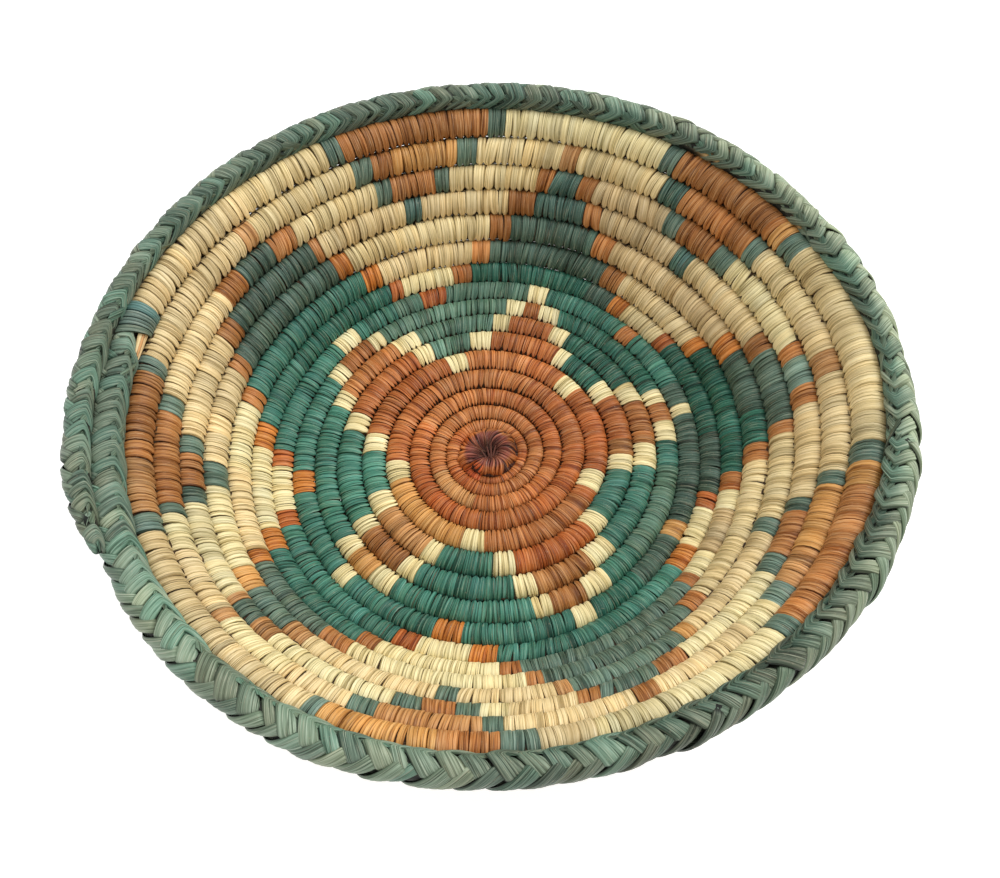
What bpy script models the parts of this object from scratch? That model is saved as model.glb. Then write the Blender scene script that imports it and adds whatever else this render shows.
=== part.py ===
"""Coiled basket bowl, wrapped in dyed palm leaf, with a braided rim.

A bundle of straw runs in one spiral from a leaf knot at the middle of the base
to the rim, and leaf is wrapped round it all the way. The first turns lie flat
and the others climb, so the spiral makes a shallow bowl. A second bundle, under
a braid, goes once round the rim and ends in a tail outside its own beginning.
A leaf tie closes the coil, and three straw ends show beside it.

Metres, +Z up. The bowl stands on z = 0 with its middle at the origin. A place
on the spiral is a number of turns, counted counter-clockwise from +X.
"""
import math

import bpy
import numpy as np

# The coil: where it starts and ends, in turns, and the size of its rows
COIL_START_TURN = 0.6
COIL_END_TURN = 16.4635
START_RADIUS = 0.0072
ROW_WIDTH = 0.0132
ROW_WIDTH_SHARES = ((0.5, 0.452), (2, 0.5), (4, 0.715), (6, 0.797), (8, 0.716),
                    (10, 0.716), (12, 0.941), (14, 0.871), (16, 1.0))
START_TAPER_SHARES = ((0.6, 0.68), (1.4, 1.0))
ROW_GAP = 0.0006
POINTS_PER_TURN = 19

# The bowl: flat to the first turn named here, at full slope from the second
FLAT_TO_TURN = 7.74
SLOPED_FROM_TURN = 12.08
WALL_SLOPE_DEG = 50.0
FLOOR_CUT = 0.0005

# The hand-made shape: how far the wall leans and dips, as shares of its radius
# and height
WARP_TURN = 16
LEAN_SHARE = 0.0167
TILT_X_SHARE = 0.0156
TILT_Y_SHARE = -0.0377
SADDLE_SHARES = (-0.02, -0.0368)

# Across a row, as shares of half its width: along the wall, then through it
ROW_SECTION_SHARES = ((1.0, 0.0), (0.55, 0.93), (-0.55, 0.93),
                      (-1.0, 0.0), (-0.55, -0.93), (0.55, -0.93))
ROW_HEIGHT_SHARE = 0.93
CORE_SECTION_SHARES = ((1.0, 0.0), (0.0, 1.0), (-1.0, 0.0), (0.0, -1.0))
CORE_SHARE = 0.6
FIT_CLEARANCE = 0.0003

# The knot at the start
KNOT_HEIGHT = 0.0068
KNOT_PROFILE_SHARES = ((0.8, 0.0), (0.97, 0.22), (1.0, 0.5), (0.88, 0.82),
                       (0.62, 1.0), (0.34, 0.9))
KNOT_DIMPLE_SHARE = 0.7

# The rim: a round of straw under a braid, laid on the last row
RIM_START_TURN = 16.468
RIM_END_TURN = 17.5736
RIM_WIDTH = 0.0126
RIM_WIDTH_SHARES = ((16.6, 0.99), (16.75, 0.88), (17.0, 0.92), (17.25, 0.8),
                    (17.46, 0.78), (17.545, 0.7), (17.5736, 0.3))
RIM_HEIGHT_SHARE = 1.04
RIM_POINTS_PER_TURN = 24
RIM_SIDES = 8
STRAW_ROOM = 0.0046
STRAW_ROOM_TO_TURN = 16.496

# The tie over the end of the coil, and the straw ends beside it
TIE_LENGTH = 0.0105
STRAW_LENGTH = 0.0115
STRAW_WIDTH = 0.0013
STRAW_SIDES = 6
STRAW_TIP_SHARE = 0.45
STRAW_PLACE_SHARES = ((-0.72, 0.1), (-0.6, 0.42), (-0.44, 0.66))

# Materials: colour, roughness
LEAF_ROUGHNESS = 0.62
COLOURS = {
    "knot_leaf": (0.16, 0.055, 0.04),
    "rust_leaf": (0.42, 0.15, 0.05),
    "green_leaf": (0.05, 0.19, 0.15),
    "natural_leaf": (0.66, 0.52, 0.31),
    "teal_leaf": (0.17, 0.27, 0.23),
    "straw": (0.55, 0.4, 0.2),
}

# The spiral is worked out on this many steps a turn, past the rim's end
STEPS_PER_TURN = 400
TABLE_END_TURN = 18


def clear_scene():
    """Removes whatever the scene holds."""
    for thing in list(bpy.data.objects):
        bpy.data.objects.remove(thing, do_unlink=True)


def from_shares(turn, table):
    """Reads a table of (turn, share) pairs at any turn."""
    places = [row[0] for row in table]
    shares = [row[1] for row in table]
    return np.interp(turn, places, shares)


def row_pitch(turn):
    """Room that one row takes across the wall."""
    return ROW_WIDTH * from_shares(turn, ROW_WIDTH_SHARES)


def row_half(turn):
    """Half the width of the row itself, thinner where the coil starts."""
    taper = from_shares(turn, START_TAPER_SHARES)
    return (row_pitch(turn) * taper - ROW_GAP) / 2


def slope(turn):
    """Slope of the wall, eased from the flat base to the straight wall."""
    climb = (turn - FLAT_TO_TURN) / (SLOPED_FROM_TURN - FLAT_TO_TURN)
    climb = np.clip(climb, 0.0, 1.0)
    return math.radians(WALL_SLOPE_DEG) * climb * climb * (3 - 2 * climb)


def spiral_table():
    """Radius and height of the coil's centre line, summed along the wall."""
    turns = np.linspace(0.0, TABLE_END_TURN, TABLE_END_TURN * STEPS_PER_TURN + 1)
    middle = (turns[1:] + turns[:-1]) / 2
    step = row_pitch(middle) / STEPS_PER_TURN
    out = np.concatenate(([0.0], np.cumsum(step * np.cos(slope(middle)))))
    up = np.concatenate(([0.0], np.cumsum(step * np.sin(slope(middle)))))
    seat = row_half(np.minimum(turns, FLAT_TO_TURN)) * ROW_HEIGHT_SHARE
    thinner = row_pitch(turns) * (1 - from_shares(turns, START_TAPER_SHARES)) / 2
    return turns, START_RADIUS + out + thinner, up + seat - FLOOR_CUT


TURNS, RADII, HEIGHTS = spiral_table()
WARP_RADIUS = float(np.interp(WARP_TURN, TURNS, RADII))
WARP_HEIGHT = float(np.interp(WARP_TURN, TURNS, HEIGHTS))


def warp(x, y, z):
    """Bends the true bowl into the hand-made one. The floor stays flat."""
    up = z / WARP_HEIGHT
    angle = 2 * math.atan2(y, x)
    saddle = 1 + SADDLE_SHARES[0] * math.cos(angle) + SADDLE_SHARES[1] * math.sin(angle)
    moved = x + LEAN_SHARE * up * WARP_RADIUS
    tilt = up * (TILT_X_SHARE * moved + TILT_Y_SHARE * y)
    return moved, y, z * saddle + tilt


def place(turn, along, through):
    """Point near the coil's centre line, given along and through the wall."""
    radius = float(np.interp(turn, TURNS, RADII))
    height = float(np.interp(turn, TURNS, HEIGHTS))
    tip = float(slope(turn))
    radius += along * math.cos(tip) - through * math.sin(tip)
    height += along * math.sin(tip) + through * math.cos(tip)
    angle = 2 * math.pi * turn
    return warp(radius * math.cos(angle), radius * math.sin(angle), max(height, 0.0))


def ring(turn, centre, half_width, half_height, section):
    """One cross-section of a tube, centred off the centre line by centre."""
    return [place(turn, centre + a * half_width, b * half_height) for a, b in section]


def polygon(sides):
    """Unit polygon, its first corner outwards."""
    angles = [2 * math.pi * i / sides for i in range(sides)]
    return [(math.cos(a), math.sin(a)) for a in angles]


def wall_faces(start, count, sides, inwards):
    """Quads between rings that are stored one after another."""
    faces = []
    for i in range(count - 1):
        for j in range(sides):
            a = start + i * sides + j
            b = start + i * sides + (j + 1) % sides
            quad = (a, b, b + sides, a + sides)
            faces.append(quad if inwards else quad[::-1])
    return faces


def end_faces(outer, inner, flip):
    """Triangles that close a tube's end, between its outside and its bore."""
    faces = []
    i = j = 0
    while i < len(outer) or j < len(inner):
        here = (outer[i % len(outer)], inner[j % len(inner)])
        if j == len(inner) or (i + 1) * len(inner) <= (j + 1) * len(outer):
            i += 1
            face = (here[0], outer[i % len(outer)], here[1])
        else:
            j += 1
            face = (here[0], inner[j % len(inner)], here[1])
        faces.append(face[::-1] if flip else face)
    return faces


def tube(outer_rings, inner_rings=None):
    """Points and faces of a solid tube, or of a sleeve that has a bore."""
    points = [p for section in outer_rings for p in section]
    sides = len(outer_rings[0])
    count = len(outer_rings)
    faces = wall_faces(0, count, sides, False)
    first = list(range(sides))
    last = [sides * (count - 1) + j for j in first]
    if inner_rings is None:
        return points, faces + [tuple(first), tuple(last[::-1])]
    start = len(points)
    bore = len(inner_rings[0])
    points += [p for section in inner_rings for p in section]
    faces += wall_faces(start, count, bore, True)
    near = [start + j for j in range(bore)]
    far = [start + bore * (count - 1) + j for j in range(bore)]
    return points, faces + end_faces(first, near, False) + end_faces(last, far, True)


def add_material(name):
    """Plain material in the colour of one sort of leaf or straw."""
    material = bpy.data.materials.get(name) or bpy.data.materials.new(name)
    material.use_nodes = True
    shader = material.node_tree.nodes["Principled BSDF"]
    shader.inputs["Base Color"].default_value = (*COLOURS[name], 1.0)
    shader.inputs["Roughness"].default_value = LEAF_ROUGHNESS
    shader.inputs["Metallic"].default_value = 0.0
    return material


def add_object(name, shape, material):
    """Turns points and faces into one named object."""
    mesh = bpy.data.meshes.new(name)
    mesh.from_pydata(shape[0], [], shape[1])
    mesh.validate()
    mesh.shade_smooth()
    mesh.set_sharp_from_angle(angle=math.radians(WALL_SLOPE_DEG))
    mesh.materials.append(add_material(material))
    thing = bpy.data.objects.new(name, mesh)
    bpy.context.collection.objects.link(thing)
    return thing


def stations(first, last):
    """Turns of the shared cross-sections from first to last, both kept."""
    count = int(round((COIL_END_TURN - COIL_START_TURN) * POINTS_PER_TURN)) + 1
    shared = [COIL_START_TURN + i / POINTS_PER_TURN for i in range(count)]
    near = FIT_CLEARANCE / (2 * math.pi * START_RADIUS)
    return [first] + [t for t in shared if first + near < t < last - near] + [last]


def turns_for(length, turn):
    """Share of a turn that a length takes along the row there."""
    return length / (2 * math.pi * float(np.interp(turn, TURNS, RADII)))


def row_ring(turn):
    """Outside of the wrapping."""
    half = row_half(turn)
    return ring(turn, 0.0, half, half, ROW_SECTION_SHARES)


def bore_ring(turn):
    """Inside of the wrapping, where the bundle lies."""
    half = row_half(turn) * CORE_SHARE
    return ring(turn, 0.0, half, half, CORE_SECTION_SHARES)


def core_ring(turn):
    """The bundle, clear of the wrapping all round."""
    half = row_half(turn) * CORE_SHARE - FIT_CLEARANCE * math.sqrt(2)
    return ring(turn, 0.0, half, half, CORE_SECTION_SHARES)


def make_foundation():
    """The straw bundle: one unbroken spiral under all the wrapping."""
    places = stations(COIL_START_TURN, tie_start()) + [COIL_END_TURN]
    return add_object("coil_foundation", tube([core_ring(t) for t in places]), "straw")


def tie_start():
    """Turn where the tie begins and the wrapping stops."""
    return COIL_END_TURN - turns_for(TIE_LENGTH, COIL_END_TURN)


def make_wrapping():
    """The leaf wrapping, one sleeve for each turn of the coil."""
    count = math.ceil(COIL_END_TURN - COIL_START_TURN)
    made = []
    for number in range(1, count + 1):
        first = COIL_START_TURN + number - 1
        last = min(first + 1, tie_start())
        last -= turns_for(FIT_CLEARANCE, last)
        places = stations(first, last)
        shape = tube([row_ring(t) for t in places], [bore_ring(t) for t in places])
        made.append(add_object(f"wrapping_turn_{number:02d}", shape, wrapping_colour(number)))
    return made


def wrapping_colour(number):
    """The leaf that most of a turn is wrapped in."""
    if number <= 6:
        return "rust_leaf"
    return "green_leaf" if number <= 10 else "natural_leaf"


def make_knot():
    """The leaf knot, whose outline follows the inner edge of the first turn."""
    first = COIL_START_TURN
    last = first + 1 - turns_for(FIT_CLEARANCE, first)
    places = stations(first, last)
    rings = []
    for wide, high in KNOT_PROFILE_SHARES:
        rings.append([knot_point(t, wide, high) for t in places])
    points = [p for section in rings for p in section]
    sides = len(places)
    faces = wall_faces(0, len(rings), sides, True)
    floor = tuple(reversed(range(sides)))
    top = len(points)
    points.append((0.0, 0.0, KNOT_HEIGHT * KNOT_DIMPLE_SHARE))
    last_ring = sides * (len(rings) - 1)
    for j in range(sides):
        faces.append((last_ring + j, last_ring + (j + 1) % sides, top))
    return add_object("start_knot", (points, faces + [floor]), "knot_leaf")


def knot_point(turn, wide, high):
    """Point of the knot at one bearing, by its share of width and height."""
    edge = float(np.interp(turn, TURNS, RADII)) - row_half(turn) - ROW_GAP
    angle = 2 * math.pi * turn
    return (edge * wide * math.cos(angle), edge * wide * math.sin(angle), KNOT_HEIGHT * high)


def straw_room(turn):
    """Room left for the straw ends beside the start of the rim."""
    fade = (STRAW_ROOM_TO_TURN - turn) / (STRAW_ROOM_TO_TURN - RIM_START_TURN)
    return STRAW_ROOM * min(max(fade, 0.0), 1.0)


def rim_half(turn):
    """Half the width of the rim."""
    full = RIM_WIDTH * from_shares(turn, RIM_WIDTH_SHARES) / 2
    return float(full) - straw_room(turn) / 2


def rim_ring(turn, size, section):
    """Cross-section of the rim, which lies on the row one turn before."""
    half = rim_half(turn)
    row = turn - 1
    centre = float(row_half(row)) + ROW_GAP + straw_room(turn) + half
    return ring(row, centre, size(half), size(half * RIM_HEIGHT_SHARE), section)


def rim_stations():
    """Turns of the rim's cross-sections, closer together at its two ends."""
    inner = [RIM_START_TURN, STRAW_ROOM_TO_TURN]
    count = int((RIM_END_TURN - STRAW_ROOM_TO_TURN) * RIM_POINTS_PER_TURN)
    inner += [STRAW_ROOM_TO_TURN + (i + 1) / RIM_POINTS_PER_TURN for i in range(count)]
    return inner + [RIM_END_TURN]


def make_rim():
    """The braid and the straw inside it."""
    places = rim_stations()
    outer = polygon(RIM_SIDES)
    braid = [rim_ring(t, lambda h: h, outer) for t in places]
    bore = [rim_ring(t, lambda h: h * CORE_SHARE, CORE_SECTION_SHARES) for t in places]
    slack = FIT_CLEARANCE * math.sqrt(2)
    core = [rim_ring(t, lambda h: h * CORE_SHARE - slack, CORE_SECTION_SHARES) for t in places]
    return [add_object("rim_braid", tube(braid, bore), "teal_leaf"),
            add_object("rim_core", tube(core), "straw")]


def make_tie():
    """The leaf tie over the end of the coil."""
    places = [tie_start(), COIL_END_TURN]
    shape = tube([row_ring(t) for t in places], [bore_ring(t) for t in places])
    return add_object("rim_tie", shape, "teal_leaf")


def make_straws():
    """The straw ends that come out of the tie, beside the start of the rim."""
    made = []
    section = polygon(STRAW_SIDES)
    first = COIL_END_TURN + turns_for(FIT_CLEARANCE, COIL_END_TURN)
    last = first + turns_for(STRAW_LENGTH, first)
    half = row_half(first)
    for number, (along, through) in enumerate(STRAW_PLACE_SHARES, 1):
        rings = []
        for turn, size in ((first, 1.0), (last, STRAW_TIP_SHARE)):
            wide = STRAW_WIDTH / 2 * size
            rings.append([place(turn, along * half + a * wide, through * half + b * wide)
                          for a, b in section])
        made.append(add_object(f"coil_end_straw_{number}", tube(rings), "straw"))
    return made


def least_gap(one, two):
    """Least distance between two sets of points."""
    apart = np.asarray(one)[:, None, :] - np.asarray(two)[None, :, :]
    return float(np.sqrt((apart ** 2).sum(axis=2).min()))


def print_gaps():
    """Measures how far neighbouring turns stay apart, and prints the least."""
    places = stations(COIL_START_TURN, COIL_END_TURN)
    later = [t for t in places if t - 1 >= COIL_START_TURN]
    core = min(least_gap(core_ring(t), core_ring(t - 1)) for t in later)
    rows = min(least_gap(row_ring(t), row_ring(t - 1)) for t in later)
    print(f"least gap of the foundation to itself: {core * 1000:.2f} mm")
    print(f"least gap between turns of the wrapping: {rows * 1000:.2f} mm")
    outer = polygon(RIM_SIDES)
    second = [t for t in rim_stations() if t - 1 > RIM_START_TURN]
    own = min(least_gap(rim_ring(t, lambda h: h, outer), rim_ring(t - 1, lambda h: h, outer))
              for t in second)
    print(f"least gap of the rim to itself: {own * 1000:.2f} mm")


def main():
    clear_scene()
    make_knot()
    make_foundation()
    make_wrapping()
    make_rim()
    make_tie()
    make_straws()
    print_gaps()


main()
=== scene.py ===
# %% [markdown]
# # A coiled basket bowl
# The real bowl is one long bundle of straw that winds from a leaf knot in the
# middle out to the rim. Dyed palm leaf is wrapped round the bundle all the way,
# and every wrap also bites into the row before it. A braid of wider leaf closes
# the rim. A turned dish with a drawn pattern would be quicker, but nothing would
# stand up from its wall. So every wrap and strand here is a strip of its own.

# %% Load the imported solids
import math

import bpy
import numpy as np
from mathutils import Matrix


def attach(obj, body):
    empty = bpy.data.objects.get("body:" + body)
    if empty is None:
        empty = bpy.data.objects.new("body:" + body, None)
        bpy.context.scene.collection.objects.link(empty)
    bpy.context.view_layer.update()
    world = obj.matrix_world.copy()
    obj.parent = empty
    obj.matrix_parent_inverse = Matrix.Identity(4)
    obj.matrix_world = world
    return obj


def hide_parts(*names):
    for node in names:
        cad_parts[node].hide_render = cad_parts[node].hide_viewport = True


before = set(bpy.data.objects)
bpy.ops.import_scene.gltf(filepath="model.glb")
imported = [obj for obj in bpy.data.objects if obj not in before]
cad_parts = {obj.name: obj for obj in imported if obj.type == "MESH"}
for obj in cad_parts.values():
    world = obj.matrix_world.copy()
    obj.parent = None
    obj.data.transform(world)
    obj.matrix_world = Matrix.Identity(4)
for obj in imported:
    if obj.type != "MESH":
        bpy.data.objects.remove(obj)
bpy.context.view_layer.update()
print("solids loaded:", len(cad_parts))

# %% [markdown]
# ## The camera
# A camera is a point, a direction and an angle of view. It could be turned by
# hand until the bowl fits, but a named rise, roll and distance can be read and
# changed. They give three axes of length one: to the right, up in the picture,
# and back to the viewer. Turning the first two about the third gives the roll.


# %% Helpers that put things into the scene
def add_object(name, data):
    """Puts a mesh, a camera or a lamp into the scene."""
    thing = bpy.data.objects.new(name, data)
    bpy.context.scene.collection.objects.link(thing)
    return thing


def stand(thing, right, up, back, spot):
    """Places a thing by its own three axes and the point where it stands."""
    rows = np.column_stack([right, up, back, spot]).tolist()
    thing.matrix_world = Matrix([*rows, [0, 0, 0, 1]])


# %% Camera
CAMERA_RISE_DEG = 59.59
CAMERA_ROLL_DEG = 3.16
CAMERA_DISTANCE = 0.43265
CAMERA_RIGHT = 0.00411
CAMERA_UP = 0.00809
LENS_MM = 36.0
SENSOR_MM = 36.0
CLIP_START = 0.01


def add_camera():
    """Places the camera by its rise above the floor, its roll and its distance."""
    rise, roll = math.radians(CAMERA_RISE_DEG), math.radians(CAMERA_ROLL_DEG)
    level = np.array([1.0, 0.0, 0.0])
    climb = np.array([0.0, math.sin(rise), math.cos(rise)])
    back = np.array([0.0, -math.cos(rise), math.sin(rise)])
    right = math.cos(roll) * level - math.sin(roll) * climb
    up = math.sin(roll) * level + math.cos(roll) * climb
    data = bpy.data.cameras.new("camera")
    data.lens = LENS_MM
    data.sensor_width = SENSOR_MM
    data.clip_start = CLIP_START
    camera = add_object("camera", data)
    stand(camera, right, up, back,
          CAMERA_RIGHT * right + CAMERA_UP * up + CAMERA_DISTANCE * back)
    bpy.context.scene.camera = camera
    return camera


camera = add_camera()
print("camera stands at", [round(x, 4) for x in camera.matrix_world.translation])

# %% [markdown]
# ## The spiral
# Everything on the bowl is placed by three numbers: how many turns along the
# coil, how far along the slope of the wall, and how far through the wall. A curve
# object could carry the strips, but it can't lean with the wall. The tables say
# how thick the rows are, and the wall eases from flat to steep, so one function
# gives the right point for a wrap anywhere on the bowl.

# %% Sizes of the coil and the wall
COIL_START_TURN = 0.6
COIL_END_TURN = 16.4635
START_RADIUS = 0.0072
ROW_WIDTH = 0.0132
ROW_WIDTH_SHARES = ((0.5, 0.452), (2, 0.5), (4, 0.715), (6, 0.797), (8, 0.716),
                    (10, 0.716), (12, 0.941), (14, 0.871), (16, 1.0))
START_TAPER_SHARES = ((0.6, 0.68), (1.4, 1.0))
ROW_GAP = 0.0006
ROW_HEIGHT_SHARE = 0.93
FLAT_TO_TURN = 7.74
SLOPED_FROM_TURN = 12.08
WALL_SLOPE_DEG = 50.0


def from_shares(turn, table):
    """Reads a table of (turn, share) pairs at any turns."""
    return np.interp(turn, [row[0] for row in table], [row[1] for row in table])


def row_pitch(turn):
    """Room that one row takes across the wall."""
    return ROW_WIDTH * from_shares(turn, ROW_WIDTH_SHARES)


def row_half(turn):
    """Half the width of the row itself."""
    return (row_pitch(turn) * from_shares(turn, START_TAPER_SHARES) - ROW_GAP) / 2


def slope(turn):
    """Slope of the wall, eased from the flat base to the straight wall."""
    climb = np.clip((turn - FLAT_TO_TURN) / (SLOPED_FROM_TURN - FLAT_TO_TURN), 0, 1)
    return math.radians(WALL_SLOPE_DEG) * climb * climb * (3 - 2 * climb)


print(f"rows are {row_pitch(2) * 1000:.1f} mm wide at turn 2, {row_pitch(16) * 1000:.1f} at 16")

# %% The centre line, summed step by step
FLOOR_CUT = 0.0005
TABLE_END_TURN = 18
STEPS_PER_TURN = 400
WARP_TURN = 16


def spiral_table():
    """Radius and height of the coil's centre line."""
    turns = np.linspace(0.0, TABLE_END_TURN, TABLE_END_TURN * STEPS_PER_TURN + 1)
    middle = (turns[1:] + turns[:-1]) / 2
    step = row_pitch(middle) / STEPS_PER_TURN
    out = np.concatenate(([0.0], np.cumsum(step * np.cos(slope(middle)))))
    up = np.concatenate(([0.0], np.cumsum(step * np.sin(slope(middle)))))
    seat = row_half(np.minimum(turns, FLAT_TO_TURN)) * ROW_HEIGHT_SHARE
    thinner = row_pitch(turns) * (1 - from_shares(turns, START_TAPER_SHARES)) / 2
    return turns, START_RADIUS + out + thinner, up + seat - FLOOR_CUT


TURNS, RADII, HEIGHTS = spiral_table()
WARP_RADIUS = float(np.interp(WARP_TURN, TURNS, RADII))
WARP_HEIGHT = float(np.interp(WARP_TURN, TURNS, HEIGHTS))


def radius_at(turn):
    """Radius of the coil's centre line."""
    return np.interp(turn, TURNS, RADII)


def girth(turn):
    """Length of one turn of the coil, with the radius that it has there."""
    return 2 * math.pi * radius_at(turn)


print(f"wall reaches {WARP_RADIUS * 1000:.1f} mm from the middle at turn {WARP_TURN}")

# %% Any point on the hand-made bowl
LEAN_SHARE = 0.0167
TILT_X_SHARE = 0.0156
TILT_Y_SHARE = -0.0377
SADDLE_SHARES = (-0.02, -0.0368)
SWAY = 0.00013
SWAY_WAVES = ((1.0, 3, 0.35), (0.6, 7, 0.5), (0.4, 13, 0.8))


def warp(x, y, z):
    """Bends the true bowl into the hand-made one. The floor stays flat."""
    up = z / WARP_HEIGHT
    angle = 2 * np.arctan2(y, x)
    saddle = 1 + SADDLE_SHARES[0] * np.cos(angle) + SADDLE_SHARES[1] * np.sin(angle)
    moved = x + LEAN_SHARE * up * WARP_RADIUS
    tilt = up * (TILT_X_SHARE * moved + TILT_Y_SHARE * y)
    return np.stack([moved, y, z * saddle + tilt], axis=-1)


def sway(turn):
    """Slow wander of the rows from side to side, as hands leave it."""
    angle = 2 * math.pi * turn
    return SWAY * sum(size * np.sin(count * angle + drift * turn)
                      for size, count, drift in SWAY_WAVES)


def place(turn, along, through):
    """Points by turns along the coil, then along and through the wall."""
    tip = slope(turn)
    along = along + sway(turn)
    radius = radius_at(turn) + along * np.cos(tip) - through * np.sin(tip)
    height = np.interp(turn, TURNS, HEIGHTS) + along * np.sin(tip) + through * np.cos(tip)
    angle = 2 * math.pi * turn
    return warp(radius * np.cos(angle), radius * np.sin(angle), np.maximum(height, 0.0))


print("the coil at turn 16:", np.round(place(np.array([16.0]), 0.0, 0.0)[0], 4))

# %% [markdown]
# ## The dyes
# The leaf is dyed in small lots, so each family of colour has several shades.
# Colours are written as they look on a screen, from 0 to 255, because that is
# how an eye judges them, and turned into the light values that a renderer adds.

# %% Shades of leaf
SHADES = {
    "N": (236, 213, 158), "Y": (254, 237, 180), "P": (242, 216, 161), "K": (211, 185, 137),
    "R": (180, 116, 62), "I": (181, 107, 54), "B": (176, 118, 64), "O": (216, 160, 92),
    "T": (199, 147, 92), "J": (192, 122, 67), "D": (186, 105, 51), "V": (204, 127, 56),
    "G": (69, 124, 106), "F": (49, 105, 87), "H": (76, 100, 86), "E": (102, 126, 109),
    "L": (118, 142, 126), "C": (80, 112, 100), "S": (93, 127, 107), "M": (216, 110, 62),
    "W": (195, 122, 67), "A": (196, 133, 76), "Q": (74, 131, 112),
}


def screen_to_light(colours):
    """Turns screen colours, 0 to 255, into linear light."""
    share = np.asarray(colours, float) / 255
    return np.where(share <= 0.04045, share / 12.92, ((share + 0.055) / 1.055) ** 2.4)


print("shades:", len(SHADES))

# %% [markdown]
# ## The pattern
# A maker changes colour by counting wraps along the row. The chart is read the
# same way: for each row, a shade and the bearing in degrees at which it ends. A
# picture laid over the bowl would cut through wraps, and a chart never does.
# A star with five points grows from the middle, in a ring of green, and
# stepped triangles stand between its points up to the rim.

# %% The pattern, row by row
PATTERN = {
    0: "M246 D300 I340 D360",
    1: "I25 W60 J100 W135 D160 W200 D240 I275 W340 J360",
    2: "W80 J200 T250 W300 I360",
    3: "D40 I90 J150 I190 D240 I275 I300 D360",
    4: "I60 J130 I185 Y196 O253 Y263 J325 D330.5 Y343 D360",
    5: "D20 I35 Y46 I68 J100 Y111 I166.5 Y177.5 Q201 Y211.5 T238 Y245 G269.5 Y277 D312.5 Y321"
       " G346.5 Y352.5 B360",
    6: "I23 Y33 F49.5 Y57 I88 Y96 S114 Y121.5 I158.5 Y166 Q208 Y215.5 B231.5 Y241.5 G275"
       " Y283.5 B305 Y314 G350 Y358 B360",
    7: "R18 Y26 F57 Y63 I80.5 Y87.5 S118 Y126 R152 Y159 Q212 Y218 O227.5 Y235.5 G280"
       " Y287.5 B298 Y305 G318 S350 G359 Y360",
    8: "Y7 R13.5 Y19 F63 Y70 R76.5 Y82.5 S126 Y132 R143 Y149 Q184 V191 G219.5 Y225 G252.5"
       " V259.5 G290.5 Y295.5 F311 H327.5 O333 H360",
    9: "H7 Y12 H18 G38 R44 G68.5 Y75.5 S102 D108.5 S118 G133 Y139 G177.5 D181.5 Y196 D200.5"
       " G244 D249.5 Y263.5 V269.5 G320 V326 Y337 D343 H360",
    10: "F29.5 D34 N46 V52 H60 F94 R99 Y112.5 D116.5 F150 G170 V176.5 Y200.5 V207 G237.5"
        " R242.5 Y269.5 R275 E314.5 R318 Y325 K336 Y342.5 R347 F360",
    11: "F22.3 V27 P51.5 B57.3 H88 A93 P116.8 V122 G164.3 A168.2 Y186 P206.3 V210.7 E230.8"
        " A237.5 Y275 A278.2 E308.5 A313 N347.3 A351.7 F360",
    12: "H16.5 V21.5 K57.3 A61.3 C64 H83.3 B87.5 N123 V127.3 H159.3 A163.3 P187 E191 Y211.5"
        " O216.5 E227.5 T232 P258 E261.5 P278 T282 E302.2 O306 P328.5 E332.2 N351.2 A354.7 E360",
    13: "E10.8 B15.3 P38.5 C42.7 K61 A66.8 C77.8 B83 P103 C107.5 P127.5 A130.5 H154.2 B159"
        " P181.5 E185.8 A193 E195.8 Y217 T220 E224.5 T227.8 Y252.2 E256 A262.3 E266.2 Y270"
        " P282 B285.8 E295 A299.5 Y320.2 E324.3 A333.2 E336.8 P355 A359.5 E360",
    14: "L6 A9.8 Y31.8 E36 B45.5 E49 K64.8 B68.8 C74.2 B77.8 N96 E99.3 A109 E112.8 N132 A137"
        " H146 B152.3 P175 E178.8 B197 E200.3 Y208 P219.5 T222.7 Y235 P246.8 E250.2 T266.5"
        " E269.5 P289 B292.5 P308 Y313.5 L317.3 T325 O336.8 E339.7 P360",
    15: "T4.2 P13 N28 E31 B36 A48.2 C52 N70.8 T73.7 N90.7 E94.7 O107 B111.5 L115.3 N138 T141.6"
        " P170.3 L173.3 B190 T199.7 L203.3 P241.5 L244.3 O260 A268.7 L272.8 P280 Y308.3 E311"
        " A335 O340.2 E342.8 N360",
    16: "N22.3 E26 O29.5 B51.5 E55.2 Y85 E88.3 A94 B104 A115.5 E119 N137 P163.5 C360",
}


def read_pattern():
    """The turn at which each run of colour ends, and its shade."""
    ends, letters = [], []
    for row, runs in PATTERN.items():
        for run in runs.split():
            ends.append(row + float(run[1:]) / 360)
            letters.append(run[0])
    return np.array(ends), np.array(letters)


RUN_ENDS, RUN_LETTERS = read_pattern()


def shade_at(turn):
    """Letter of the shade at each turn of the coil."""
    return RUN_LETTERS[np.searchsorted(RUN_ENDS, turn).clip(0, len(RUN_ENDS) - 1)]


print("runs of colour:", len(RUN_ENDS))

# %% [markdown]
# ## Shader groups
# A shader node group is a small machine used by many materials. Leaf has fine
# straight fibres along its length, so the fibres come from a noise stretched
# along the strip. A noise placed in the room would run straight on from wrap to
# wrap. Here each strip carries its own place in millimetres as a mesh attribute,
# so the fibres follow it round the bundle wherever it goes.

# %% Helpers for shader nodes
SOCKET_KINDS = {float: "NodeSocketFloat", tuple: "NodeSocketColor",
                type(None): "NodeSocketVector"}
OPERATIONS = {"+": "ADD", "-": "SUBTRACT", "*": "MULTIPLY", "^": "POWER",
              "without sign": "ABSOLUTE"}


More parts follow.
